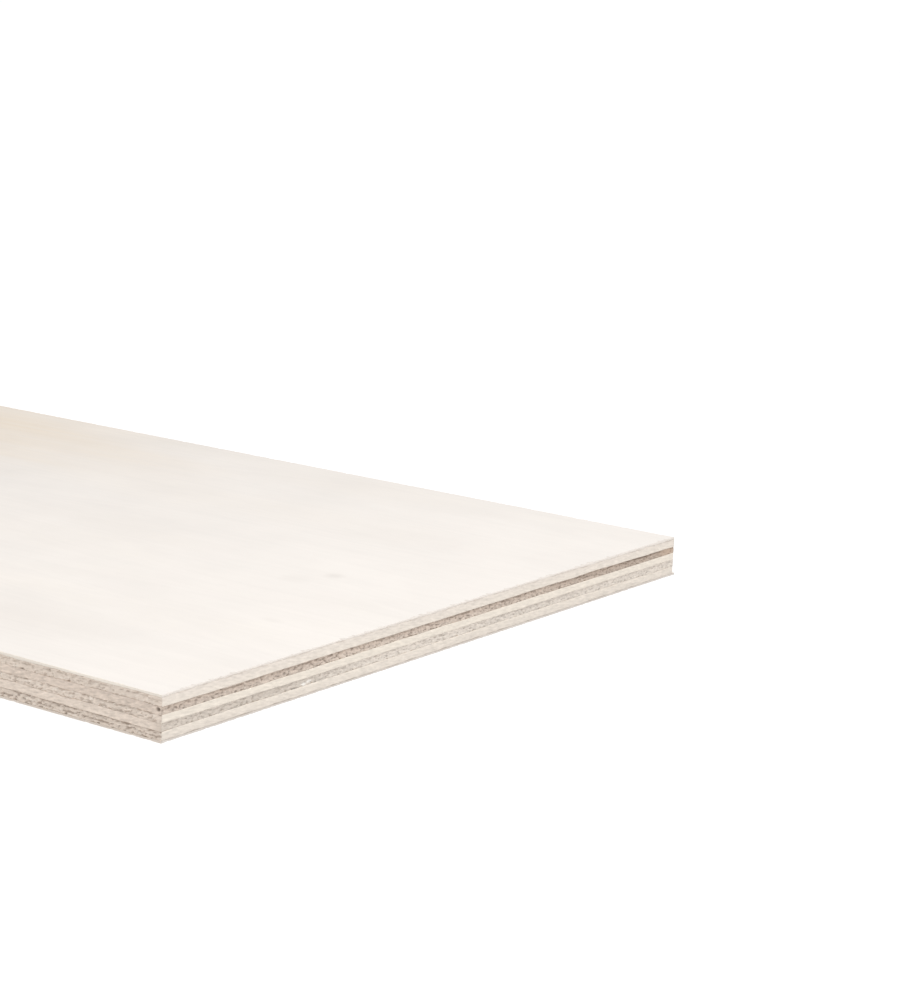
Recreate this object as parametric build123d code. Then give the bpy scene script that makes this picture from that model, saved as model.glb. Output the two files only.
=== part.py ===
from build123d import *
import os

# Plywood sheet: a sawn panel of 16 mm (5/8 in) stock, lying flat with its good face up.
# Seven rotary-peeled veneers are glued into one sheet, and the grain turns a quarter at every ply.
# Origin: the middle of the underside. X runs along the face grain, Y across it, Z up. Millimetres.

# Sheet as sawn
sheet_length = 610.0
sheet_width = 305.0
arris = 0.3  # easing of the handled outer edges, all round the face and the back

# Veneers after pressing and sanding
face_thickness = 0.8  # the fine veneer on show
back_thickness = 0.8  # its balancing veneer underneath
crossband_thickness = 3.0  # next to the face and the back, grain across the sheet
core_thickness = 2.9  # the two inner plies with their grain along the sheet
centre_thickness = 2.5  # the middle ply, grain across the sheet

# The stack from the floor up
plies = [
    ("back_veneer", back_thickness),
    ("lower_crossband", crossband_thickness),
    ("lower_core_ply", core_thickness),
    ("centre_crossband", centre_thickness),
    ("upper_core_ply", core_thickness),
    ("upper_crossband", crossband_thickness),
    ("face_veneer", face_thickness),
]


def lay_ply(thickness, underside):
    """One flat veneer of the sheet's outline, glued down at the height of its underside."""
    outline = Rectangle(sheet_length, sheet_width)
    return Pos(0, 0, underside) * extrude(outline, amount=thickness)


def lay_up(plies):
    """Every ply on the one below it, by name."""
    sheet = {}
    level = 0
    for name, thickness in plies:
        sheet[name] = lay_ply(thickness, level)
        level += thickness
    return sheet


def ease_outer_edges(sheet):
    """Takes the sharp corner off the face above and the back below."""
    face_edges = sheet["face_veneer"].edges().group_by(Axis.Z)[-1]
    back_edges = sheet["back_veneer"].edges().group_by(Axis.Z)[0]
    sheet["face_veneer"] = chamfer(face_edges, length=arris)
    sheet["back_veneer"] = chamfer(back_edges, length=arris)


sheet = lay_up(plies)
ease_outer_edges(sheet)
os.makedirs("parts", exist_ok=True)
for name, ply in sheet.items():
    ply.label = name
    export_step(ply, f"parts/{name}.step")
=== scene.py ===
import math

import bpy
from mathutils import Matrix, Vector


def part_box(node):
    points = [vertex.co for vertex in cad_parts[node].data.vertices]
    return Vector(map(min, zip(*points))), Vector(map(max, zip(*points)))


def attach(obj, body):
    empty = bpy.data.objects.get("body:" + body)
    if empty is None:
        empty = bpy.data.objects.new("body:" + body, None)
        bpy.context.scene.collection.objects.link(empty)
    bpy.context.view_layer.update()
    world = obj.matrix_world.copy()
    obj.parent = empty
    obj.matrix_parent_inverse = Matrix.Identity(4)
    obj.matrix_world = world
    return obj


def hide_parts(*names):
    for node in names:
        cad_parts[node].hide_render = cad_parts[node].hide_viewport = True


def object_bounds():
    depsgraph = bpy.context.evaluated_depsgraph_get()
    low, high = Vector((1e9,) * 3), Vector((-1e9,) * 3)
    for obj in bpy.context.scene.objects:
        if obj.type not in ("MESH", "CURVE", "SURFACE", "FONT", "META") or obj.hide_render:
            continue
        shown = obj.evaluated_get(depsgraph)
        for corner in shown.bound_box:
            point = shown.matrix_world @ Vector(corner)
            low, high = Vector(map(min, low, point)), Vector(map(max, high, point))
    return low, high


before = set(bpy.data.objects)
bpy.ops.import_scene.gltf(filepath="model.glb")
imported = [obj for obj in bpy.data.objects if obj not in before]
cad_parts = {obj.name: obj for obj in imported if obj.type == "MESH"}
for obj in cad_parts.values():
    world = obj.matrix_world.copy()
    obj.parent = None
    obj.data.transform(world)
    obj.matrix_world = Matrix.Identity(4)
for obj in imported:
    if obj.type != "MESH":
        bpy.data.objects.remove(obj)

cadBox = [list(corner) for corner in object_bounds()]
mm = 0.001
farAway = 1000  # millimetres, in a direction that a noise or a spot ignores
sheetLow, sheetHigh = Vector(cadBox[0]), Vector(cadBox[1])
print("frame loaded, sheet", [round(side / mm, 2) for side in sheetHigh - sheetLow], "mm")


# Shared helpers for shader and geometry trees
def putNode(tree, kind, sockets=None, **settings):
    node = tree.nodes.new(kind)
    for name, value in settings.items():
        setattr(node, name, value)
    for key, value in (sockets or {}).items():
        if isinstance(value, bpy.types.NodeSocket):
            tree.links.new(value, node.inputs[key])
        else:
            node.inputs[key].default_value = value
    return node


def calc(tree, operation, *values):
    return putNode(tree, "ShaderNodeMath", dict(enumerate(values)), operation=operation).outputs[0]


def vectorCalc(tree, operation, *values):
    node = putNode(tree, "ShaderNodeVectorMath", dict(enumerate(values)), operation=operation)
    return node.outputs["Value" if operation == "LENGTH" else "Vector"]


def scaleBy(tree, vector, factor):
    return putNode(tree, "ShaderNodeVectorMath", {0: vector, "Scale": factor}, operation="SCALE").outputs[0]


def remap(tree, value, fromLow, fromHigh, toLow=0.0, toHigh=1.0, curve="SMOOTHSTEP"):
    sockets = {"Value": value, "From Min": fromLow, "From Max": fromHigh, "To Min": toLow, "To Max": toHigh}
    return putNode(tree, "ShaderNodeMapRange", sockets, interpolation_type=curve).outputs[0]


def between(tree, share, low, high):
    return remap(tree, share, 0.0, 1.0, low, high, "LINEAR")


def splitUp(tree, vector):
    return putNode(tree, "ShaderNodeSeparateXYZ", {0: vector}).outputs


def joinUp(tree, x, y, z):
    return putNode(tree, "ShaderNodeCombineXYZ", {0: x, 1: y, 2: z}).outputs[0]


def noiseField(tree, place, size, seed, detail=2.0, roughness=0.5, distortion=0.0):
    scaled = vectorCalc(tree, "DIVIDE", place, size)
    sockets = {"Vector": scaled, "W": seed, "Scale": 1.0, "Detail": detail}
    sockets.update({"Roughness": roughness, "Distortion": distortion})
    return putNode(tree, "ShaderNodeTexNoise", sockets, noise_dimensions="4D").outputs[0]


def centred(tree, field):
    return calc(tree, "SUBTRACT", field, 0.5)


# The saw cut that every ply shares; a range is the noise levels at which its damage begins and is full
sawCut = {
    "edgeStep": 0.45 * mm,  # from column to column along the wall
    "cornerParts": 6.0,  # equal parts round the outline that put a column on every corner
    "faceLip": 4 * mm,  # how far the wall turns in over a ply's faces
    "lipTurn": 6 * mm,  # the length over which a lip turns its corner
    "cornerHold": 4 * mm, "cornerShare": 0.35,  # tear-out fades to this share at a corner
    "wallSlack": 0.05 * mm,  # a point this near the outline is on the wall
    "weld": 0.02 * mm,
    "fibreLean": 0.15,
    "tearRange": (0.28, 0.75),
    "pitRange": (0.54, 0.68), "pitSeed": 40.0,
    "dashRange": (0.55, 0.64), "dashSeed": 50.0, "dashBend": 0.3,
    "dashRowReach": 0.22, "dashRowLift": (0.085, -0.045),
    "chipRange": (0.5, 0.72), "chipSize": (2.6 * mm, 2.6 * mm, 1.0), "chipGrowth": (0.7, 4.0),
}
bakeMap = {"margin": 0.004, "stripSpan": (0.08, 0.92)}

# One tree saws every ply: a dense wall whose rims turn in over the faces as lips, two flat caps, then
# tear-out, wandering glue lines, eased arrises and loose fibres
plyInputs = {
    "Length": "Float", "Width": "Float", "Underside": "Float", "Thickness": "Float",
    "Edge Step": "Float", "Rows": "Int", "Face Lip": "Float", "Seed": "Float",
    "Top Easing": "Float", "Bottom Easing": "Float",
    "Top Wander": "Float", "Bottom Wander": "Float", "Top Glue Seed": "Float", "Bottom Glue Seed": "Float",
    "End Tear": "Float", "Side Tear": "Float", "Tear Size": "Vector",
    "End Pits": "Float", "Side Pits": "Float", "Pit Size": "Vector",
    "End Dashes": "Float", "Side Dashes": "Float", "Dash Size": "Vector",
    "Upper Dash Row": "Float", "Lower Dash Row": "Float",
    "End Shows End Grain": "Float", "Side Shows End Grain": "Float",
    "Mark Place": "Vector", "Mark Size": "Vector", "Mark Push": "Vector",
    "Fibres": "Int", "Fibre Height": "Float", "Fibre Length": "Float", "Fibre Radius": "Float",
    "Map Strips": "Float", "Top Map Share": "Float", "Bottom Map Share": "Float",
    "Wood": "Material",
}


def pointPlace(tree):
    return putNode(tree, "GeometryNodeInputPosition").outputs[0]


def storeField(tree, geometry, name, value, domain, kind="FLOAT"):
    sockets = {"Geometry": geometry, "Name": name, "Value": value}
    return putNode(tree, "GeometryNodeStoreNamedAttribute", sockets, domain=domain, data_type=kind).outputs[0]


def storedField(tree, name):
    return putNode(tree, "GeometryNodeInputNamedAttribute", {"Name": name}, data_type="FLOAT").outputs[0]


def onFaces(tree, value):
    return putNode(tree, "GeometryNodeFieldOnDomain", {0: value}, domain="FACE", data_type="FLOAT").outputs[0]


def halfSide(tree, given, side):
    return calc(tree, "MULTIPLY", given[side], 0.5)


def drawnIn(tree, given, place, share):
    # The outline, drawn in over the ply's face by the lip's width where share is 1; it goes square to the
    # wall and turns only near a corner
    lip = calc(tree, "MULTIPLY", given["Face Lip"], share)
    xyz = splitUp(tree, place)
    steps = []
    for axis, side in ((0, "Length"), (1, "Width")):
        toWall = calc(tree, "SUBTRACT", halfSide(tree, given, side), calc(tree, "ABSOLUTE", xyz[axis]))
        fade = calc(tree, "EXPONENT", calc(tree, "DIVIDE", toWall, -sawCut["lipTurn"]))
        step = calc(tree, "MULTIPLY", lip, fade)
        steps.append(calc(tree, "MULTIPLY", step, calc(tree, "SIGN", xyz[axis])))
    return vectorCalc(tree, "SUBTRACT", place, joinUp(tree, steps[0], steps[1], 0.0))


def bakeMargin(tree, share):
    return between(tree, share, bakeMap["margin"], 1.0 - bakeMap["margin"])


def capMap(tree, given, place, mapStart, mapShare):
    # Bake map of the ply's face, as seen from above
    xyz = splitUp(tree, place)
    across = calc(tree, "ADD", calc(tree, "DIVIDE", xyz[0], given["Length"]), 0.5)
    rise = calc(tree, "ADD", calc(tree, "DIVIDE", xyz[1], given["Width"]), 0.5)
    rise = calc(tree, "ADD", mapStart, calc(tree, "MULTIPLY", bakeMargin(tree, rise), mapShare))
    return joinUp(tree, bakeMargin(tree, across), rise, 0.0)


def plyWall(tree, given, outline, columns):
    # A flat grid, one column for each step round the outline, wrapped onto the saw cut; its first and last
    # rows turn in over the two faces as lips
    rimRow = calc(tree, "ADD", given["Rows"], 1.0)
    lastRow = calc(tree, "ADD", given["Rows"], 2.0)
    sizes = {"Size X": 1.0, "Size Y": 1.0, "Vertices X": calc(tree, "ADD", columns, 1.0),
             "Vertices Y": calc(tree, "ADD", lastRow, 1.0)}
    grid = putNode(tree, "GeometryNodeMeshGrid", sizes).outputs["Mesh"]
    flat = splitUp(tree, pointPlace(tree))
    turn = calc(tree, "ADD", flat[0], 0.5)
    row = calc(tree, "MULTIPLY", calc(tree, "ADD", flat[1], 0.5), lastRow)
    height = remap(tree, row, 1.0, rimRow, curve="LINEAR")
    grid = storeField(tree, grid, "plyHeight", height, "POINT")
    cut = putNode(tree, "GeometryNodeSampleCurve", {"Curves": outline, "Factor": turn}, mode="FACTOR")
    onLip = calc(tree, "MAXIMUM", calc(tree, "LESS_THAN", row, 0.5),
                 calc(tree, "GREATER_THAN", row, calc(tree, "ADD", rimRow, 0.5)))
    place = drawnIn(tree, given, cut.outputs["Position"], onLip)
    # Bake map: the long wall is cut into strips laid one above the other, and the lips join the faces
    strips = given["Map Strips"]
    strip = calc(tree, "FLOOR", calc(tree, "MULTIPLY", onFaces(tree, turn), strips))
    across = calc(tree, "SUBTRACT", calc(tree, "MULTIPLY", turn, strips), strip)
    inStrip = between(tree, height, *bakeMap["stripSpan"])
    rise = calc(tree, "DIVIDE", calc(tree, "ADD", strip, inStrip), strips)
    topShare, bottomShare = given["Top Map Share"], given["Bottom Map Share"]
    start = calc(tree, "ADD", topShare, bottomShare)
    rise = calc(tree, "ADD", start, calc(tree, "MULTIPLY", rise, calc(tree, "SUBTRACT", 1.0, start)))
    bakePlace = joinUp(tree, bakeMargin(tree, across), rise, 0.0)
    faceRow = onFaces(tree, row)
    onTopLip = calc(tree, "GREATER_THAN", faceRow, rimRow)
    onBottomLip = calc(tree, "LESS_THAN", faceRow, 1.0)
    lips = ((onTopLip, bottomShare, topShare), (onBottomLip, 0.0, bottomShare))
    for onThisLip, mapStart, mapShare in lips:
        lipMove = vectorCalc(tree, "SUBTRACT", capMap(tree, given, place, mapStart, mapShare), bakePlace)
        bakePlace = vectorCalc(tree, "ADD", bakePlace, scaleBy(tree, lipMove, onThisLip))
    grid = storeField(tree, grid, "OFBake", bakePlace, "CORNER", "FLOAT2")
    level = calc(tree, "ADD", given["Underside"], calc(tree, "MULTIPLY", height, given["Thickness"]))
    place = vectorCalc(tree, "ADD", place, joinUp(tree, 0.0, 0.0, level))
    return putNode(tree, "GeometryNodeSetPosition", {"Geometry": grid, "Position": place}).outputs[0]


def plyCap(tree, given, rim, height, mapStart, mapShare):
    cap = putNode(tree, "GeometryNodeFillCurve", {"Curve": rim}, mode="TRIANGLES").outputs[0]
    if height == 0.0:  # the lower cap looks down
        cap = putNode(tree, "GeometryNodeFlipFaces", {"Mesh": cap}).outputs[0]
    cap = storeField(tree, cap, "plyHeight", height, "POINT")
    bakePlace = capMap(tree, given, pointPlace(tree), mapStart, mapShare)
    cap = storeField(tree, cap, "OFBake", bakePlace, "CORNER", "FLOAT2")
    level = calc(tree, "ADD", given["Underside"], calc(tree, "MULTIPLY", given["Thickness"], height))
    lift = joinUp(tree, 0.0, 0.0, level)
    return putNode(tree, "GeometryNodeSetPosition", {"Geometry": cap, "Offset": lift}).outputs[0]


def easingDepth(tree, radius, distance):
    # How far a quarter round of this radius has pulled in, at this distance from the arris
    inside = calc(tree, "MAXIMUM", calc(tree, "SUBTRACT", radius, distance), 0.0)
    left = calc(tree, "SUBTRACT", calc(tree, "POWER", radius, 2.0), calc(tree, "POWER", inside, 2.0))
    return calc(tree, "SUBTRACT", radius, calc(tree, "SQRT", calc(tree, "MAXIMUM", left, 0.0)))


glueWave = {
    "slowSize": (26 * mm, 140 * mm, 1.0), "slowShare": 6.0,
    "quickSize": (4.5 * mm, 22 * mm, 1.0), "quickShare": 3.0,
    "middle": 4.5,
}


def glueWander(tree, place, seed, reach):
    # Veneers are never quite even, so the glue lines wander; neighbours share a seam and so a line
    slow = noiseField(tree, place, glueWave["slowSize"], seed, detail=1.0)
    quick = noiseField(tree, place, glueWave["quickSize"], seed, detail=2.0)
    quick = calc(tree, "MULTIPLY", quick, glueWave["quickShare"])
    both = calc(tree, "ADD", calc(tree, "MULTIPLY", slow, glueWave["slowShare"]), quick)
    return calc(tree, "MULTIPLY", calc(tree, "SUBTRACT", both, glueWave["middle"]), reach)


def tornPits(tree, place, size, seed):
    # Crumbled spots in the end grain
    field = noiseField(tree, place, size, calc(tree, "ADD", seed, sawCut["pitSeed"]), detail=1.0)
    return remap(tree, field, *sawCut["pitRange"])


def tornDashes(tree, place, size, seed, height, rows):
    # Short tears along the veneer, most of them in two rows at their own heights in the ply
    ownSeed = calc(tree, "ADD", seed, sawCut["dashSeed"])
    field = noiseField(tree, place, size, ownSeed, distortion=sawCut["dashBend"])
    lifts = []
    for row in rows:
        away = calc(tree, "ABSOLUTE", calc(tree, "SUBTRACT", height, row))
        lifts.append(remap(tree, away, 0.0, sawCut["dashRowReach"], *sawCut["dashRowLift"]))
    lift = calc(tree, "MAXIMUM", lifts[0], lifts[1])
    return remap(tree, calc(tree, "ADD", field, lift), *sawCut["dashRange"])


def leaning(tree, place):
    # Peeled veneer is never quite true: its fibres and checks lean through the ply, along every wall
    xyz = splitUp(tree, place)
    lean = calc(tree, "MULTIPLY", calc(tree, "SUBTRACT", xyz[1], xyz[0]), sawCut["fibreLean"])
    return joinUp(tree, xyz[0], xyz[1], calc(tree, "ADD", xyz[2], lean))


def sawnFields(tree, given):
    # Where the saw went through, by point or by face: on the two ends, and on the two long sides
    place = pointPlace(tree)
    xyz = splitUp(tree, place)
    reachX = calc(tree, "SUBTRACT", halfSide(tree, given, "Length"), sawCut["wallSlack"])
    reachY = calc(tree, "SUBTRACT", halfSide(tree, given, "Width"), sawCut["wallSlack"])
    farX, farY = calc(tree, "ABSOLUTE", xyz[0]), calc(tree, "ABSOLUTE", xyz[1])
    onEnd = calc(tree, "GREATER_THAN", farX, reachX)
    onSide = calc(tree, "GREATER_THAN", farY, reachY)
    # The cut stays whole at the corners, where the two walls would fold into each other
    hold, share = sawCut["cornerHold"], sawCut["cornerShare"]
    endHold = remap(tree, calc(tree, "SUBTRACT", reachY, farY), 0.0, hold, share, 1.0)
    sideHold = remap(tree, calc(tree, "SUBTRACT", reachX, farX), 0.0, hold, share, 1.0)
    return place, xyz, onEnd, onSide, endHold, sideHold


tuftShape = {
    "sides": 5, "tipRadius": 0.02 * mm, "sizes": (0.35, 1.0),
    "spread": ((-0.5, -0.7, 0.0), (0.5, 0.7, 0.35)),
    "placeSeed": 3, "spreadSeed": 5, "sizeSeed": 8,
    "patchScale": (20.0, 1.0), "patchStart": (0.005, 0.001),  # a small corner of the bake map
}


def fibreTufts(tree, given, outline):
    # Loose fibres left standing by the saw along one arris
    points = putNode(tree, "GeometryNodePoints", {"Count": given["Fibres"]}).outputs[0]
    draw = {"Seed": tuftShape["placeSeed"]}
    share = putNode(tree, "FunctionNodeRandomValue", draw, data_type="FLOAT").outputs[1]
    cut = putNode(tree, "GeometryNodeSampleCurve", {"Curves": outline, "Factor": share}, mode="FACTOR")
    lift = joinUp(tree, 0.0, 0.0, given["Fibre Height"])
    place = vectorCalc(tree, "ADD", cut.outputs["Position"], lift)
    points = putNode(tree, "GeometryNodeSetPosition", {"Geometry": points, "Position": place}).outputs[0]
    # The fibres point out of the cut and splay
    least, most = tuftShape["spread"]
    draw = {0: least, 1: most, "Seed": tuftShape["spreadSeed"]}
    spread = putNode(tree, "FunctionNodeRandomValue", draw, data_type="FLOAT_VECTOR").outputs[0]
    outward = vectorCalc(tree, "NORMALIZE", vectorCalc(tree, "MULTIPLY", place, (1.0, 1.0, 0.0)))
    heading = vectorCalc(tree, "ADD", outward, spread)
    turned = putNode(tree, "FunctionNodeAlignRotationToVector", {"Vector": heading}, axis="Z").outputs[0]
    sizes = {"Vertices": tuftShape["sides"], "Radius Top": tuftShape["tipRadius"],
             "Radius Bottom": given["Fibre Radius"], "Depth": given["Fibre Length"]}
    spike = putNode(tree, "GeometryNodeMeshCone", sizes).outputs["Mesh"]
    spike = storeField(tree, spike, "plyHeight", 0.5, "POINT")
    corner = splitUp(tree, pointPlace(tree))
    patch = []
    for axis, scale, start in zip((0, 2), tuftShape["patchScale"], tuftShape["patchStart"]):
        patch.append(calc(tree, "MULTIPLY_ADD", corner[axis], scale, start))
    spike = storeField(tree, spike, "OFBake", joinUp(tree, patch[0], patch[1], 0.0), "CORNER", "FLOAT2")
    least, most = tuftShape["sizes"]
    draw = {2: least, 3: most, "Seed": tuftShape["sizeSeed"]}
    size = putNode(tree, "FunctionNodeRandomValue", draw, data_type="FLOAT").outputs[1]
    sockets = {"Points": points, "Instance": spike, "Rotation": turned, "Scale": size}
    return putNode(tree, "GeometryNodeInstanceOnPoints", sockets).outputs[0]


def buildPlyTree():
    tree = bpy.data.node_groups.new("sawnPly", "GeometryNodeTree")
    for name, kind in plyInputs.items():
        tree.interface.new_socket(name, in_out="INPUT", socket_type="NodeSocket" + kind)
    tree.interface.new_socket("Ply", in_out="OUTPUT", socket_type="NodeSocketGeometry")
    given = putNode(tree, "NodeGroupInput").outputs
    sides = {"Width": given["Length"], "Height": given["Width"]}
    outline = putNode(tree, "GeometryNodeCurvePrimitiveQuadrilateral", sides).outputs[0]
    around = calc(tree, "MULTIPLY", calc(tree, "ADD", given["Length"], given["Width"]), 2.0)
    # The sheet is twice as long as it is wide, so a sixth of the way round is one short side
    shortSide = calc(tree, "DIVIDE", around, sawCut["cornerParts"])
    columns = calc(tree, "ROUND", calc(tree, "DIVIDE", shortSide, given["Edge Step"]))
    columns = calc(tree, "MULTIPLY", columns, sawCut["cornerParts"])
    dense = {"Curve": outline, "Count": columns}
    rim = putNode(tree, "GeometryNodeResampleCurve", dense, mode="COUNT").outputs[0]
    inset = drawnIn(tree, given, pointPlace(tree), 1.0)
    rim = putNode(tree, "GeometryNodeSetPosition", {"Geometry": rim, "Position": inset}).outputs[0]

    # A plain closed plate with a dense wall
    joined = putNode(tree, "GeometryNodeJoinGeometry")
    bottomShare, topShare = given["Bottom Map Share"], given["Top Map Share"]
    for part in (plyCap(tree, given, rim, 1.0, bottomShare, topShare),
                 plyCap(tree, given, rim, 0.0, 0.0, bottomShare),
                 plyWall(tree, given, outline, columns)):
        tree.links.new(part, joined.inputs[0])
    weld = {"Geometry": joined.outputs[0], "Distance": sawCut["weld"]}
    plate = putNode(tree, "GeometryNodeMergeByDistance", weld).outputs[0]

    # What the saw shows on each wall face, for the wood to read
    place, xyz, onEnd, onSide, endHold, sideHold = sawnFields(tree, given)
    sawn = calc(tree, "MAXIMUM", onEnd, onSide)
    plate = storeField(tree, plate, "sawnEdge", sawn, "FACE")
    endGrain = calc(tree, "MAXIMUM", calc(tree, "MULTIPLY", onEnd, given["End Shows End Grain"]),
                    calc(tree, "MULTIPLY", onSide, given["Side Shows End Grain"]))
    plate = storeField(tree, plate, "endGrain", endGrain, "FACE")

    # Tear-out and pits go into the wall, never out of it
    height = storedField(tree, "plyHeight")
    tear = remap(tree, noiseField(tree, place, given["Tear Size"], given["Seed"]), *sawCut["tearRange"])
    leaned = leaning(tree, place)
    rows = (given["Upper Dash Row"], given["Lower Dash Row"])
    pits = tornPits(tree, leaned, given["Pit Size"], given["Seed"])
    dashes = tornDashes(tree, leaned, given["Dash Size"], given["Seed"], height, rows)
    rimNoise = noiseField(tree, place, sawCut["chipSize"], given["Seed"])
    chip = remap(tree, rimNoise, *sawCut["chipRange"], *sawCut["chipGrowth"])
    distance = calc(tree, "MULTIPLY", height, given["Thickness"])
    fromTop = calc(tree, "SUBTRACT", given["Thickness"], distance)
    eased = easingDepth(tree, calc(tree, "MULTIPLY", given["Top Easing"], chip), fromTop)
    easedBelow = easingDepth(tree, calc(tree, "MULTIPLY", given["Bottom Easing"], chip), distance)
    eased = calc(tree, "ADD", eased, easedBelow)
    moves = []
    for axis, onWall, hold, wall in ((0, onEnd, endHold, "End"), (1, onSide, sideHold, "Side")):
        depth = calc(tree, "MULTIPLY", tear, given[wall + " Tear"])
        depth = calc(tree, "MULTIPLY_ADD", pits, given[wall + " Pits"], depth)
        depth = calc(tree, "MULTIPLY_ADD", dashes, given[wall + " Dashes"], depth)
        depth = calc(tree, "MULTIPLY", calc(tree, "ADD", depth, eased), calc(tree, "MULTIPLY", onWall, hold))
        inward = calc(tree, "MULTIPLY", calc(tree, "SIGN", xyz[axis]), -1.0)
        moves.append(calc(tree, "MULTIPLY", depth, inward))

    # The wandering glue lines above and below
    topLine = glueWander(tree, place, given["Top Glue Seed"], given["Top Wander"])
    bottomLine = glueWander(tree, place, given["Bottom Glue Seed"], given["Bottom Wander"])
    rise = calc(tree, "ADD", calc(tree, "MULTIPLY", topLine, height),
                calc(tree, "MULTIPLY", bottomLine, calc(tree, "SUBTRACT", 1.0, height)))
    move = joinUp(tree, moves[0], moves[1], calc(tree, "MULTIPLY", rise, sawn))

    # One named mark: a nick, a void or a lifted splinter
    away = vectorCalc(tree, "SUBTRACT", place, given["Mark Place"])
    away = vectorCalc(tree, "DIVIDE", away, given["Mark Size"])
    nearness = remap(tree, vectorCalc(tree, "LENGTH", away), 1.0, 0.0)
    move = vectorCalc(tree, "ADD", move, scaleBy(tree, given["Mark Push"], nearness))
    plate = putNode(tree, "GeometryNodeSetPosition", {"Geometry": plate, "Offset": move}).outputs[0]

    # Soft shading on the torn wood, flat on the veneer's faces
    soft = {"Geometry": plate, "Shade Smooth": storedField(tree, "sawnEdge")}
    plate = putNode(tree, "GeometryNodeSetShadeSmooth", soft).outputs[0]
    whole = putNode(tree, "GeometryNodeJoinGeometry")
    tree.links.new(fibreTufts(tree, given, outline), whole.inputs[0])
    tree.links.new(plate, whole.inputs[0])
    solid = putNode(tree, "GeometryNodeRealizeInstances", {0: whole.outputs[0]}).outputs[0]
    done = putNode(tree, "GeometryNodeSetMaterial", {"Geometry": solid, "Material": given["Wood"]}).outputs[0]
    putNode(tree, "NodeGroupOutput", {0: done})
    return tree


def inputIds(tree):
    return {item.name: item.identifier for item in tree.interface.items_tree if item.in_out == "INPUT"}


# Wood
woodGloss = {"Specular IOR Level": 0.35, "IOR": 1.5}


def tone(red, green, blue):
    # 8-bit picture colour to the linear colour that shaders use
    shares = [level / 255 for level in (red, green, blue)]
    linear = [s / 12.92 if s <= 0.04045 else ((s + 0.055) / 1.055) ** 2.4 for s in shares]
    return (*linear, 1.0)


def mixTone(tree, factor, first, second):
    sockets = {0: factor, 6: first, 7: second}
    return putNode(tree, "ShaderNodeMix", sockets, data_type="RGBA").outputs[2]


def readMark(tree, name):
    return putNode(tree, "ShaderNodeAttribute", attribute_name=name).outputs["Fac"]


def grainSize(ply, along, across, up):
    # A size along the grain, across it and through the ply, in millimetres, as the sheet's own axes
    turned = (across, along, up) if ply["grainAcross"] else (along, across, up)
    return [length * mm for length in turned]


def grainField(tree, ply, place, size, seedStep, **settings):
    return noiseField(tree, place, grainSize(ply, *size), ply["seed"] + seedStep, **settings)


def newWood(name):
    wood = bpy.data.materials.new(name)
    wood.use_nodes = True
    tree = wood.node_tree
    surface = tree.nodes["Principled BSDF"]
    for socket, value in woodGloss.items():
        surface.inputs[socket].default_value = value
    place = putNode(tree, "ShaderNodeTexCoord").outputs["Object"]
    return wood, tree, surface, place


def finishWood(tree, surface, look, colour, sheen, relief):
    height = {"Strength": look["bump"], "Distance": look["bumpDepth"], "Height": relief}
    bump = putNode(tree, "ShaderNodeBump", height).outputs[0]
    for name, value in (("Base Color", colour), ("Roughness", sheen), ("Normal", bump)):
        tree.links.new(value, surface.inputs[name])


spotLook = {"grainSize": (150, 7, farAway), "grainRange": (0.3, 0.7), "waverSize": (190, 26, farAway)}


def spotShare(tree, ply, place, spot):
    # 1 in the middle of a spot given in millimetres, fading to 0 at its reach, and broken up along the grain
    away = vectorCalc(tree, "SUBTRACT", place, [part * mm for part in spot["at"]])
    away = vectorCalc(tree, "DIVIDE", away, [part * mm for part in spot["reach"]])
    distance = vectorCalc(tree, "LENGTH", away)
    amount = spot["amount"]
    if "streaks" in spot:
        grain = grainField(tree, ply, place, spotLook["grainSize"], seedStep=7.0, detail=3.0, roughness=0.6)
        waver = grainField(tree, ply, place, spotLook["waverSize"], seedStep=8.0)
        distance = calc(tree, "MULTIPLY_ADD", centred(tree, waver), spot["streaks"], distance)
        kept = remap(tree, grain, *spotLook["grainRange"], 1.0 - spot["streaks"], 1.0, "LINEAR")
        amount = calc(tree, "MULTIPLY", amount, kept)
    near = remap(tree, distance, 1.0, spot["core"])
    return calc(tree, "MULTIPLY", near, amount)


def paintSpots(tree, ply, place, colour):
    for spot in ply["spots"]:
        colour = mixTone(tree, spotShare(tree, ply, place, spot), colour, spot["tone"])
    return colour


resinAndShadeLook = {
    "widthSize": (5, 5, farAway), "widthRange": (0.36, 0.66), "core": 0.2,
    "dashSize": (9, 9, farAway), "dashRange": (0.4, 0.6), "dashShares": (0.1, 1.0),
}


def resinAndShadeLine(tree, ply, place, height, thickness, endGrain):
    # Dark dashed lines along the glued arrises: partly real resin, partly painted shadow of the overhanging
    # ply, darker on end grain
    width = grainField(tree, ply, place, resinAndShadeLook["widthSize"], seedStep=11.0)
    width = remap(tree, width, *resinAndShadeLook["widthRange"], *ply["resinShadeWidth"])
    dashes = grainField(tree, ply, place, resinAndShadeLook["dashSize"], seedStep=12.0, detail=3.0)
    dashes = remap(tree, dashes, *resinAndShadeLook["dashRange"], *resinAndShadeLook["dashShares"])
    below = calc(tree, "MULTIPLY", height, thickness)
    above = calc(tree, "SUBTRACT", thickness, below)
    lines = []
    for distance, (onLong, onEnd) in ((above, ply["resinShadeAbove"]), (below, ply["resinShadeBelow"])):
        line = remap(tree, calc(tree, "DIVIDE", distance, width), 1.0, resinAndShadeLook["core"])
        lines.append(calc(tree, "MULTIPLY", line, between(tree, endGrain, onLong, onEnd)))
    return calc(tree, "MULTIPLY", calc(tree, "MAXIMUM", lines[0], lines[1]), dashes)


innerLook = {
    "waveSize": (60, 16, farAway), "waveDepth": 5 * mm, "driftSize": (120, 46, 30), "ringBend": 0.2,
    "fleckRange": (0.57, 0.68), "longFlecks": 0.1,
    "fibreRange": (0.3, 0.7), "sheen": (0.62, 0.82),
    "ringRelief": 0.5, "fibreRelief": 0.6, "tornRelief": 0.8, "bump": 0.5, "bumpDepth": 0.12 * mm,
}


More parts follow.
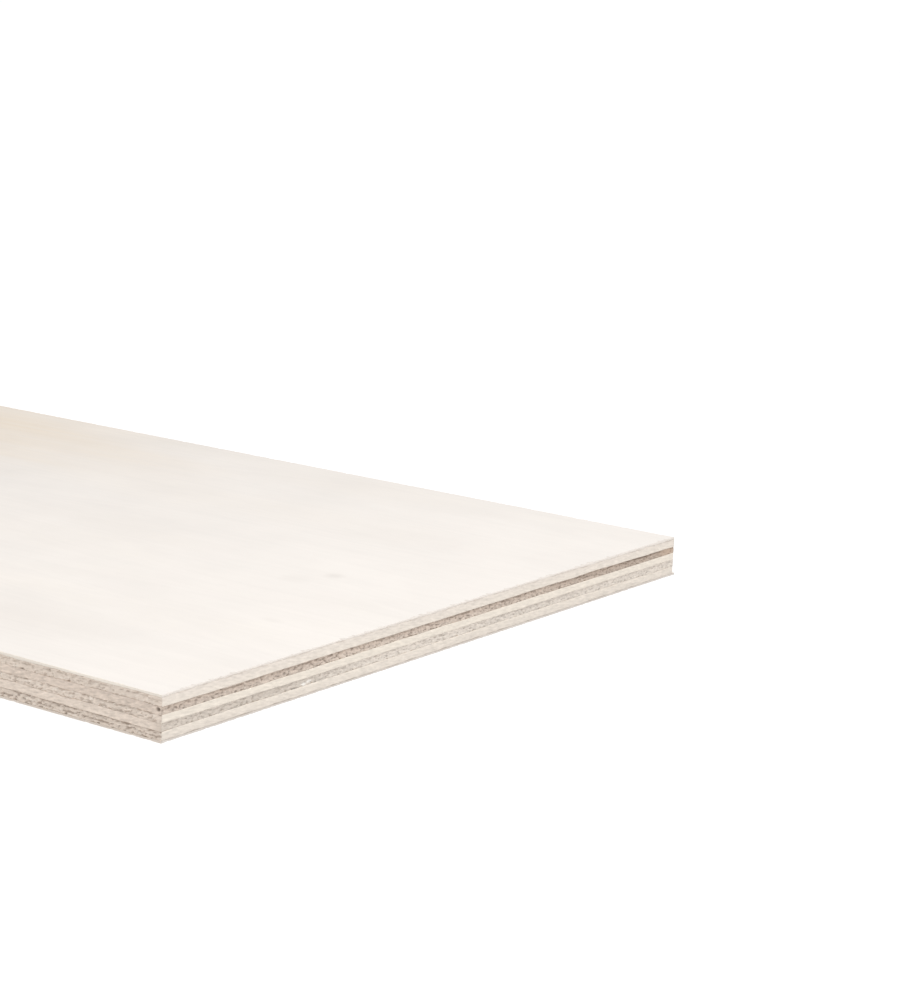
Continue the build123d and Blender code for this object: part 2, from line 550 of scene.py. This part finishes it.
def innerWood(name, ply, thickness):
    wood, tree, surface, place = newWood(name)
    look, seed = innerLook, ply["seed"]
    height, endGrain = readMark(tree, "plyHeight"), readMark(tree, "endGrain")
    # Growth rings lie nearly flat in a peeled veneer: streaks with the grain, wavy lenses on the end grain
    leaned = leaning(tree, place)
    wave = centred(tree, grainField(tree, ply, place, look["waveSize"], seedStep=6.0))
    wave = calc(tree, "MULTIPLY", wave, look["waveDepth"])
    waved = vectorCalc(tree, "ADD", leaned, joinUp(tree, 0.0, 0.0, wave))
    rings = grainField(tree, ply, waved, ply["ringSize"], seedStep=0.0, distortion=look["ringBend"])
    fibre = grainField(tree, ply, leaned, ply["fibreSize"], seedStep=1.0, detail=3.0, roughness=0.6)
    drift = grainField(tree, ply, place, look["driftSize"], seedStep=2.0)
    faces = []
    for part in ("long", "end"):
        value = 1.0
        for field, contrast in zip((rings, fibre, drift), ply[part + "Contrast"]):
            value = calc(tree, "MULTIPLY_ADD", centred(tree, field), contrast, value)
        # Each face runs from its tone below to its tone above; where the end grain is darker at its top, that
        # darkening is painted shadow of the ply above
        colour = mixTone(tree, height, ply[part + "ToneBelow"], ply[part + "ToneAbove"])
        faces.append(scaleBy(tree, colour, value))
    colour = mixTone(tree, endGrain, faces[0], faces[1])
    # The pits and dashes of the cut are painted dark, a painted shade inside these torn hollows over their
    # real dents, and raised fibres catch the light
    pits = tornPits(tree, leaned, grainSize(ply, *ply["pitSize"]), seed)
    dashes = tornDashes(tree, leaned, grainSize(ply, *ply["dashSize"]), seed, height, ply["dashRows"])
    pitShade, dashShade, fleckShade = ply["tornShades"]
    dashes = calc(tree, "MULTIPLY", dashes, dashShade)
    tornWithShade = calc(tree, "MAXIMUM", calc(tree, "MULTIPLY", pits, pitShade), dashes)
    tornWithShade = calc(tree, "MULTIPLY", tornWithShade, endGrain)
    colour = mixTone(tree, tornWithShade, colour, ply["tornShadowTone"])
    flecks = grainField(tree, ply, leaned, ply["fleckSize"], seedStep=5.0, detail=1.0)
    flecks = remap(tree, flecks, *look["fleckRange"])
    flecks = calc(tree, "MULTIPLY", flecks, between(tree, endGrain, look["longFlecks"], fleckShade))
    colour = mixTone(tree, flecks, colour, ply["fleckTone"])
    resinPlusShade = resinAndShadeLine(tree, ply, place, height, thickness, endGrain)
    colour = mixTone(tree, resinPlusShade, colour, ply["resinShadeTone"])
    colour = paintSpots(tree, ply, place, colour)
    sheen = remap(tree, fibre, *look["fibreRange"], *look["sheen"], "LINEAR")
    relief = calc(tree, "MULTIPLY", fibre, look["fibreRelief"])
    relief = calc(tree, "MULTIPLY_ADD", rings, look["ringRelief"], relief)
    relief = calc(tree, "SUBTRACT", relief, calc(tree, "MULTIPLY", tornWithShade, look["tornRelief"]))
    finishWood(tree, surface, look, colour, sheen, relief)
    return wood


faceLook = {
    "cloudSize": (58, 44, farAway), "streakSize": (210, 3.2, farAway), "poreSize": (8, 0.42, farAway),
    "figureSize": (260, 26, farAway), "figureBend": 1.2, "figureTurns": 60.0,
    "poreRange": (0.58, 0.72), "warmSize": (190, 60, farAway), "warmRange": (0.42, 0.68),
    "splinterSize": (farAway, 3.0, farAway), "splinterRange": (0.48, 0.68),
    "splinterReach": 1.8 * mm, "splinterFade": 0.6 * mm, "splinterShare": 0.75,
    "fibreSize": (30, 1.1, 0.3), "fibreRange": (0.25, 0.75), "fibreShades": (0.9, 1.1),
    "streakRange": (0.3, 0.7), "sheen": (0.5, 0.62),
    "poreRelief": -0.5, "streakRelief": 0.4, "bump": 0.35, "bumpDepth": 0.08 * mm,
}


def faceWood(name, ply, thickness):
    wood, tree, surface, place = newWood(name)
    look = faceLook
    height, endGrain = readMark(tree, "plyHeight"), readMark(tree, "endGrain")
    sawn = readMark(tree, "sawnEdge")
    # The sanded face: cloudy, with faint streaks, pores and the broad figure of a peeled log
    clouds = grainField(tree, ply, place, look["cloudSize"], seedStep=0.0, detail=4.0, roughness=0.55)
    streaks = grainField(tree, ply, place, look["streakSize"], seedStep=1.0, detail=4.0, roughness=0.6)
    pores = grainField(tree, ply, place, look["poreSize"], seedStep=2.0)
    figure = grainField(tree, ply, place, look["figureSize"], seedStep=3.0, distortion=look["figureBend"])
    bands = calc(tree, "SINE", calc(tree, "MULTIPLY", figure, look["figureTurns"]))
    value = calc(tree, "MULTIPLY_ADD", centred(tree, clouds), ply["clouds"], 1.0)
    value = calc(tree, "MULTIPLY_ADD", centred(tree, streaks), ply["streaks"], value)
    value = calc(tree, "MULTIPLY_ADD", bands, ply["figure"], value)
    dark = remap(tree, pores, *look["poreRange"])
    value = calc(tree, "MULTIPLY_ADD", dark, -ply["pores"], value)
    warm = grainField(tree, ply, place, look["warmSize"], seedStep=4.0, detail=3.0)
    warm = calc(tree, "MULTIPLY", remap(tree, warm, *look["warmRange"]), ply["warmth"])
    colour = mixTone(tree, warm, ply["faceTone"], ply["warmTone"])
    colour = paintSpots(tree, ply, place, colour)
    faceColour = scaleBy(tree, colour, value)
    # Splinters broken out of the face along the cross cut
    toEnd = calc(tree, "SUBTRACT", sheetHigh.x, calc(tree, "ABSOLUTE", splitUp(tree, place)[0]))
    broken = grainField(tree, ply, place, look["splinterSize"], seedStep=9.0, detail=3.0)
    broken = remap(tree, broken, *look["splinterRange"], 0.0, look["splinterReach"])
    broken = calc(tree, "SUBTRACT", broken, toEnd)
    broken = remap(tree, broken, 0.0, look["splinterFade"], 0.0, look["splinterShare"])
    faceColour = mixTone(tree, broken, faceColour, ply["splinterTone"])
    # The sawn edge of the veneer
    fibre = grainField(tree, ply, place, look["fibreSize"], seedStep=5.0, detail=3.0, roughness=0.6)
    edgeTone = mixTone(tree, endGrain, ply["longTone"], ply["endTone"])
    fibreShade = remap(tree, fibre, *look["fibreRange"], *look["fibreShades"], "LINEAR")
    edgeTone = scaleBy(tree, edgeTone, fibreShade)
    resinPlusShade = resinAndShadeLine(tree, ply, place, height, thickness, endGrain)
    edgeTone = mixTone(tree, resinPlusShade, edgeTone, ply["resinShadeTone"])
    colour = mixTone(tree, sawn, faceColour, edgeTone)
    sheen = remap(tree, streaks, *look["streakRange"], *look["sheen"], "LINEAR")
    relief = calc(tree, "MULTIPLY", streaks, look["streakRelief"])
    relief = calc(tree, "MULTIPLY_ADD", dark, look["poreRelief"], relief)
    relief = calc(tree, "MULTIPLY_ADD", fibre, sawn, relief)
    finishWood(tree, surface, look, colour, sheen, relief)
    return wood


# Plies, each from its own dictionary
plyGroup = buildPlyTree()
plyIds = inputIds(plyGroup)
noMark = {"place": (0.0, 0.0, 1.0), "size": (mm, mm, mm), "push": (0.0, 0.0, 0.0)}
noFibres = {"count": 0, "height": 0.0, "length": mm, "radius": 0.1 * mm}


def makePly(ply):
    low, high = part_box(ply["node"])
    thickness = high.z - low.z
    makeWood = faceWood if ply["veneer"] else innerWood
    wood = makeWood(ply["node"] + "_wood", ply, thickness)
    endShows, sideShows = (0.0, 1.0) if ply["grainAcross"] else (1.0, 0.0)
    mark, fibres = ply.get("mark", noMark), ply.get("fibres", noFibres)
    values = {
        "Length": high.x - low.x, "Width": high.y - low.y, "Underside": low.z, "Thickness": thickness,
        "Edge Step": sawCut["edgeStep"], "Rows": ply["rows"], "Face Lip": sawCut["faceLip"],
        "Seed": ply["seed"],
        "Top Easing": ply.get("topEasing", 0.0), "Bottom Easing": ply.get("bottomEasing", 0.0),
        "Top Wander": ply["seamAbove"]["wander"], "Bottom Wander": ply["seamBelow"]["wander"],
        "Top Glue Seed": ply["seamAbove"]["seed"], "Bottom Glue Seed": ply["seamBelow"]["seed"],
        "End Tear": ply["endTear"] if endShows else ply["longTear"],
        "Side Tear": ply["endTear"] if sideShows else ply["longTear"],
        "Tear Size": grainSize(ply, *ply["tearSize"]),
        "End Pits": ply["pits"] * endShows, "Side Pits": ply["pits"] * sideShows,
        "Pit Size": grainSize(ply, *ply["pitSize"]),
        "End Dashes": ply["dashes"] * endShows, "Side Dashes": ply["dashes"] * sideShows,
        "Dash Size": grainSize(ply, *ply["dashSize"]),
        "Upper Dash Row": ply["dashRows"][0], "Lower Dash Row": ply["dashRows"][1],
        "End Shows End Grain": endShows, "Side Shows End Grain": sideShows,
        "Mark Place": mark["place"], "Mark Size": mark["size"], "Mark Push": mark["push"],
        "Fibres": fibres["count"], "Fibre Height": fibres["height"],
        "Fibre Length": fibres["length"], "Fibre Radius": fibres["radius"],
        "Map Strips": ply["mapStrips"], "Top Map Share": ply["mapTop"], "Bottom Map Share": ply["mapBottom"],
        "Wood": wood,
    }
    piece = bpy.data.objects.new(ply["piece"], bpy.data.meshes.new(ply["piece"]))
    bpy.context.scene.collection.objects.link(piece)
    saw = piece.modifiers.new("sawnPly", "NODES")
    saw.node_group = plyGroup
    for name, value in values.items():
        saw[plyIds[name]] = value
    graph = bpy.context.evaluated_depsgraph_get()
    sawnPiece = piece.evaluated_get(graph)
    mesh = bpy.data.meshes.new_from_object(sawnPiece, preserve_all_data_layers=True, depsgraph=graph)
    piece.modifiers.remove(saw)
    piece.data = mesh
    mesh.name = ply["piece"]
    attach(piece, "root")
    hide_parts(ply["node"])
    print(ply["piece"], len(mesh.polygons), "faces")


# Each glued seam is shared by the plies above and below it
noSeam = {"seed": 0.0, "wander": 0.0}
seamUnderFace = {"seed": 3421.0, "wander": 0.25 * mm}
seamOverUpperCore = {"seed": 5722.0, "wander": 0.3 * mm}
seamOverCentre = {"seed": 4842.0, "wander": 0.25 * mm}
seamUnderCentre = {"seed": 5034.0, "wander": 0.3 * mm}
seamUnderLowerCore = {"seed": 5935.0, "wander": 0.2 * mm}
seamOverBack = {"seed": 101.0, "wander": 0.1 * mm}

# What plies of one kind have in common; sizes along the grain, across it and through the ply, in millimetres
veneerKind = {
    "veneer": True, "grainAcross": False, "rows": 6,
    "longTear": 0.05 * mm, "tearSize": (9, 1.6, 1.2), "pitSize": (8, 2.2, 3),
    "dashes": 0.0, "dashSize": (20, 7, 1.2), "dashRows": (0.5, 0.5),
    "resinShadeWidth": (0.12 * mm, 0.4 * mm), "mapStrips": 8.0,
}
crossbandKind = {
    "slot": "crossband_wood", "veneer": False, "grainAcross": True,
    "longTear": 0.06 * mm, "tearSize": (30, 3.6, 0.7), "pitSize": (9, 1.5, 0.8), "dashSize": (40, 2.6, 0.9),
    "ringSize": (4.0, 2.8, 0.78), "fibreSize": (2.4, 1.2, 0.72), "fleckSize": (6, 1.7, 0.72),
    "resinShadeWidth": (0.15 * mm, 0.55 * mm), "mapTop": 0.03, "mapBottom": 0.03,
}
coreKind = {
    "veneer": False, "grainAcross": False, "rows": 10,
    "longTear": 0.05 * mm, "tearSize": (30, 2.4, 0.7), "pitSize": (9, 1.4, 0.8), "dashSize": (40, 2.8, 0.85),
    "ringSize": (2.6, 3.2, 0.8), "fibreSize": (1.6, 1.2, 0.72), "fleckSize": (5, 1.6, 0.72),
    "mapStrips": 22.0, "mapTop": 0.03, "mapBottom": 0.03,
}
lightTone, paleTone, knotTone = tone(232, 222, 210), tone(234, 224, 211), tone(214, 207, 200)

faceVeneer = {
    **veneerKind, "piece": "sanded_face", "node": "face_veneer", "slot": "face_wood",
    "seed": 3.0, "topEasing": 0.2 * mm, "endTear": 0.12 * mm, "pits": 0.12 * mm,
    "seamAbove": noSeam, "seamBelow": seamUnderFace,
    "mark": {"place": (sheetHigh.x, 43 * mm, sheetHigh.z), "size": (1.6 * mm, 1.5 * mm, 1.4 * mm),
             "push": (-0.9 * mm, 0.0, 0.0)},
    "fibres": {"count": 90, "height": sheetHigh.z - 0.35 * mm, "length": 0.9 * mm, "radius": 0.07 * mm},
    "mapTop": 0.5, "mapBottom": 0.03,
    "faceTone": tone(238, 232, 226), "warmTone": tone(237, 225, 209),
    "clouds": 0.15, "streaks": 0.045, "figure": 0.006, "pores": 0.03, "warmth": 0.1,
    "longTone": tone(238, 229, 217), "endTone": tone(229, 221, 213), "splinterTone": tone(216, 207, 198),
    "resinShadeTone": tone(180, 164, 150), "resinShadeAbove": (0.0, 0.0), "resinShadeBelow": (0.1, 0.4),
    "spots": [
        {"at": (-122, 108, 0), "reach": (245, 100, farAway), "core": 0.2, "amount": 1.0, "streaks": 0.5,
         "tone": tone(237, 223, 205)},
        {"at": (248, 4.6, 0), "reach": (5.5, 5.5, farAway), "core": 0.0, "amount": 0.4, "tone": knotTone},
        {"at": (240, -9, 0), "reach": (9, 9, farAway), "core": 0.0, "amount": 0.14, "tone": knotTone},
        {"at": (214, -116, 0), "reach": (56, 30, farAway), "core": 0.0, "amount": 0.3, "tone": knotTone},
        {"at": (272, -60, 0), "reach": (7, 4, farAway), "core": 0.0, "amount": 0.2, "tone": knotTone},
    ],
}
makePly(faceVeneer)

upperCrossband = {
    **crossbandKind, "piece": "upper_cross_ply", "node": "upper_crossband",
    "seed": 14.0, "rows": 10, "mapStrips": 22.0,
    "seamAbove": seamUnderFace, "seamBelow": seamOverUpperCore,
    "endTear": 0.2 * mm, "pits": 0.35 * mm, "dashes": 0.4 * mm, "dashRows": (0.71, 0.71),
    "longToneAbove": tone(228, 218, 208), "longToneBelow": lightTone, "longContrast": (0.5, 0.38, 0.1),
    "endToneAbove": tone(227, 212, 198), "endToneBelow": tone(227, 212, 198),
    "endContrast": (0.42, 0.34, 0.2),
    "tornShades": (0.24, 0.22, 0.4), "tornShadowTone": tone(150, 130, 114), "fleckTone": tone(244, 234, 222),
    "resinShadeTone": tone(160, 140, 124), "resinShadeAbove": (0.3, 0.06), "resinShadeBelow": (0.0, 0.0),
    "spots": [
        # Lighter tone at the top and foot of the end grain near the corner: painted light that lifts the
        # shade at the seams there
        {"at": (289, -152.5, 14.2), "reach": (27, 5, 0.9), "core": 0.3, "amount": 0.5,
         "tone": tone(229, 215, 202)},
        {"at": (289, -152.5, 12.2), "reach": (27, 5, 0.7), "core": 0.4, "amount": 0.7,
         "tone": tone(226, 212, 199)},
    ],
}
makePly(upperCrossband)

upperCore = {
    **coreKind, "piece": "upper_core", "node": "upper_core_ply", "slot": "upper_core_wood",
    "seed": 25.0,
    "seamAbove": seamOverUpperCore, "seamBelow": seamOverCentre,
    "endTear": 0.2 * mm, "pits": 0.4 * mm, "dashes": 0.3 * mm, "dashRows": (0.8, 0.8),
    "mark": {"place": (303.4 * mm, sheetLow.y, 11.0 * mm), "size": (1.4 * mm, 2.0 * mm, 0.9 * mm),
             "push": (0.0, 0.9 * mm, 0.0)},
    "longToneAbove": tone(220, 204, 190), "longToneBelow": tone(220, 204, 190),
    "longContrast": (0.9, 0.5, 0.25),
    # Its end grain is darker at the top: painted shadow under the ply above
    "endToneAbove": tone(186, 168, 154), "endToneBelow": tone(212, 197, 184),
    "endContrast": (0.6, 0.9, 0.3),
    "tornShades": (0.46, 0.38, 0.42), "tornShadowTone": tone(112, 94, 80), "fleckTone": tone(232, 221, 208),
    "resinShadeTone": tone(140, 120, 104), "resinShadeWidth": (0.2 * mm, 0.8 * mm),
    "resinShadeAbove": (0.06, 0.08), "resinShadeBelow": (0.1, 0.1),
    "spots": [
        # Lighter tone at the top near the corner: painted light that lifts the shade at the seam there
        {"at": (287, -152.5, 12.3), "reach": (26, 1.5, 0.8), "core": 0.3, "amount": 0.6,
         "tone": tone(222, 207, 194)},
        {"at": (305, -125, 11.7), "reach": (4, 52, 1.4), "core": 0.3, "amount": 0.35,
         "tone": tone(214, 197, 182)},
        {"at": (305, 165, 10.6), "reach": (5, 165, 6), "core": 0.2, "amount": 0.32,
         "tone": tone(148, 125, 106)},
        # Painted shadow: a dark line along the top of the end grain near the far corner
        {"at": (305, 131, 11.7), "reach": (4, 20, 0.8), "core": 0.3, "amount": 0.45,
         "tone": tone(118, 102, 90)},
        {"at": (305, 148, 10.6), "reach": (4, 9, 3), "core": 0.2, "amount": 0.45,
         "tone": tone(206, 178, 154)},
        # Painted shade inside the void at the near corner, over the dent made by the mark
        {"at": (303.5, -152.5, 11.0), "reach": (1.2, 3, 0.85), "core": 0.45, "amount": 0.72,
         "tone": tone(100, 82, 70)},
    ],
}
makePly(upperCore)

centreCrossband = {
    **crossbandKind, "piece": "centre_cross_ply", "node": "centre_crossband",
    "seed": 36.0, "rows": 8, "mapStrips": 24.0,
    "seamAbove": seamOverCentre, "seamBelow": seamUnderCentre,
    "endTear": 0.2 * mm, "pits": 0.4 * mm, "dashes": 0.4 * mm, "dashRows": (0.93, 0.22),
    "longToneAbove": paleTone, "longToneBelow": paleTone, "longContrast": (0.46, 0.34, 0.1),
    "endToneAbove": tone(231, 216, 202), "endToneBelow": tone(229, 214, 200),
    "endContrast": (0.6, 0.46, 0.26),
    "tornShades": (0.3, 0.38, 0.6), "tornShadowTone": tone(150, 130, 114), "fleckTone": tone(244, 234, 222),
    "resinShadeTone": tone(160, 140, 124), "resinShadeAbove": (0.08, 0.22), "resinShadeBelow": (0.0, 0.1),
    "spots": [
        # Plain tone over the lower dash row near the corner: painted light that lifts its shade there
        {"at": (270, -152.5, 7.1), "reach": (48, 5, 0.6), "core": 0.3, "amount": 0.4,
         "tone": tone(226, 212, 199)},
    ],
}
makePly(centreCrossband)

lowerCore = {
    **coreKind, "piece": "lower_core", "node": "lower_core_ply", "slot": "lower_core_wood",
    "seed": 47.0,
    "seamAbove": seamUnderCentre, "seamBelow": seamUnderLowerCore,
    "endTear": 0.18 * mm, "pits": 0.35 * mm, "dashes": 0.25 * mm, "dashRows": (0.75, 0.75),
    "longToneAbove": tone(228, 213, 199), "longToneBelow": tone(229, 214, 200),
    "longContrast": (0.8, 0.4, 0.2),
    # Its end grain is a little darker at the top: painted shadow under the ply above
    "endToneAbove": tone(219, 208, 197), "endToneBelow": tone(223, 213, 202),
    "endContrast": (0.5, 0.55, 0.25),
    "tornShades": (0.26, 0.07, 0.38), "tornShadowTone": tone(150, 136, 124), "fleckTone": tone(243, 235, 225),
    "resinShadeTone": tone(166, 150, 136), "resinShadeWidth": (0.15 * mm, 0.5 * mm),
    "resinShadeAbove": (0.04, 0.0), "resinShadeBelow": (0.55, 0.05),
    "spots": [
        {"at": (305, -130, 5.5), "reach": (5, 90, 6), "core": 0.3, "amount": 0.33,
         "tone": tone(184, 171, 158)},
        {"at": (305, -82.4, 4.5), "reach": (4, 1.9, 0.8), "core": 0.3, "amount": 0.9,
         "tone": tone(250, 245, 238)},
        {"at": (305, -79.6, 4.9), "reach": (4, 1.7, 0.7), "core": 0.3, "amount": 0.9,
         "tone": tone(250, 245, 238)},
    ],
}
makePly(lowerCore)

lowerCrossband = {
    **crossbandKind, "piece": "lower_cross_ply", "node": "lower_crossband",
    "seed": 58.0, "rows": 10, "mapStrips": 22.0,
    "seamAbove": seamUnderLowerCore, "seamBelow": seamOverBack,
    "endTear": 0.22 * mm, "pits": 0.4 * mm, "dashes": 0.45 * mm, "dashRows": (0.95, 0.37),
    "longToneAbove": lightTone, "longToneBelow": tone(224, 214, 203), "longContrast": (0.52, 0.38, 0.12),
    # Its end grain is darker at the top: painted shadow under the ply above
    "endToneAbove": tone(219, 204, 190), "endToneBelow": tone(228, 213, 199),
    "endContrast": (0.5, 0.36, 0.26),
    "tornShades": (0.33, 0.48, 0.58), "tornShadowTone": tone(138, 118, 104), "fleckTone": tone(240, 229, 217),
    "resinShadeTone": tone(150, 130, 115), "resinShadeAbove": (0.0, 0.36), "resinShadeBelow": (0.58, 0.0),
    "spots": [],
}
makePly(lowerCrossband)

backVeneer = {
    **veneerKind, "piece": "balancing_back", "node": "back_veneer", "slot": "back_wood",
    "seed": 69.0, "bottomEasing": 0.15 * mm, "endTear": 0.14 * mm, "pits": 0.15 * mm,
    "seamAbove": seamOverBack, "seamBelow": noSeam,
    "mark": {"place": (sheetHigh.x, sheetHigh.y, 0.4 * mm), "size": (26 * mm, 1.6 * mm, 3 * mm),
             "push": (0.0, 1.5 * mm, 0.0)},
    "fibres": {"count": 110, "height": 0.3 * mm, "length": 1.0 * mm, "radius": 0.07 * mm},
    "mapTop": 0.03, "mapBottom": 0.5,
    "faceTone": tone(230, 219, 206), "warmTone": tone(224, 206, 184),
    "clouds": 0.16, "streaks": 0.09, "figure": 0.012, "pores": 0.05, "warmth": 0.6,
    "longTone": tone(218, 206, 195), "endTone": tone(218, 210, 202), "splinterTone": tone(206, 193, 180),
    "resinShadeTone": tone(166, 150, 136), "resinShadeAbove": (0.05, 0.4), "resinShadeBelow": (0.0, 0.0),
    "spots": [],
}
makePly(backVeneer)


# Stage: a white sweep under soft, even light
def stageMaterial(name, white, roughness, glow):
    material = bpy.data.materials.new(name)
    material.use_nodes = True
    surface = material.node_tree.nodes["Principled BSDF"]
    surface.inputs["Base Color"].default_value = (white, white, white, 1.0)
    surface.inputs["Roughness"].default_value = roughness
    surface.inputs["Specular IOR Level"].default_value = 0.0
    surface.inputs["Emission Color"].default_value = (1.0, 1.0, 1.0, 1.0)
    surface.inputs["Emission Strength"].default_value = glow
    return material


def stagePiece(name, corners, quads, material):
    mesh = bpy.data.meshes.new(name)
    mesh.from_pydata(corners, [], quads)
    mesh.materials.append(material)
    piece = bpy.data.objects.new(name, mesh)
    bpy.context.scene.collection.objects.link(piece)
    return piece


def makeFloor(look):
    # A hair above the sheet's underside, so that the two never share a plane
    half, level = look["side"] / 2, look["rise"]
    corners = [(-half, -half, level), (half, -half, level), (half, half, level), (-half, half, level)]
    paper = stageMaterial("floor_paper", look["white"], look["roughness"], look["glow"])
    floor = stagePiece("floor", corners, [(0, 1, 2, 3)], paper)


def makeBackdrop(look):
    # White cloth round the floor, behind everything: only the camera sees it, so it adds no light
    panels, height = look["panels"], look["height"]
    turns = [2 * math.pi * step / panels for step in range(panels)]
    ring = [(look["reach"] * math.cos(turn), look["reach"] * math.sin(turn)) for turn in turns]
    corners = [(x, y, level) for level in (-height, height) for x, y in ring]
    quads = []
    for step in range(panels):
        following = (step + 1) % panels
        quads.append((step, following, panels + following, panels + step))
    cloth = stageMaterial("backdrop_cloth", look["white"], look["roughness"], look["glow"])
    backdrop = stagePiece("backdrop", corners, quads, cloth)
    for ray in ("diffuse", "glossy", "transmission", "volume_scatter", "shadow"):
        setattr(backdrop, "visible_" + ray, False)


def makeSky(strength):
    world = bpy.data.worlds.new("studio")
    world.use_nodes = True
    background = world.node_tree.nodes["Background"]
    background.inputs["Color"].default_value = (1.0, 1.0, 1.0, 1.0)
    background.inputs["Strength"].default_value = strength
    bpy.context.scene.world = world
    bpy.context.scene.view_settings.view_transform = "Standard"


def makeSoftbox(box):
    lamp = bpy.data.lights.new(box["name"], "AREA")
    lamp.shape = "SQUARE"
    lamp.size = box["side"]
    lamp.energy = box["power"]
    holder = bpy.data.objects.new(box["name"], lamp)
    holder.location = box["place"]
    holder.rotation_euler = (Vector(box["aim"]) - Vector(box["place"])).to_track_quat("-Z", "Y").to_euler()
    bpy.context.scene.collection.objects.link(holder)


floorLook = {"side": 24.0, "rise": 0.02 * mm, "white": 0.2, "roughness": 0.9, "glow": 0.9}
makeFloor(floorLook)
backdropLook = {"reach": 12.0, "height": 12.0, "panels": 48, "white": 0.0, "roughness": 0.5, "glow": 1.1}
makeBackdrop(backdropLook)
skyStrength = 0.66
makeSky(skyStrength)
keySoftbox = {"name": "key_softbox", "place": (0.55, -0.1, 0.95), "aim": (0.2, -0.05, 0.0),
              "side": 0.5, "power": 5.5}
makeSoftbox(keySoftbox)
print("stage and light set")

# Camera: a long lens at the near corner, a little above the sheet
camera = {"lens": 95.0, "place": (0.8373, -0.7421, 0.2557), "turn": (77.575, -2.2817, 36.2723)}
lens = bpy.data.cameras.new("camera")
lens.lens = camera["lens"]
viewer = bpy.data.objects.new("camera", lens)
viewer.location = camera["place"]
viewer.rotation_euler = [math.radians(angle) for angle in camera["turn"]]
bpy.context.scene.collection.objects.link(viewer)
bpy.context.scene.camera = viewer
print("camera set")

bpy.context.view_layer.update()
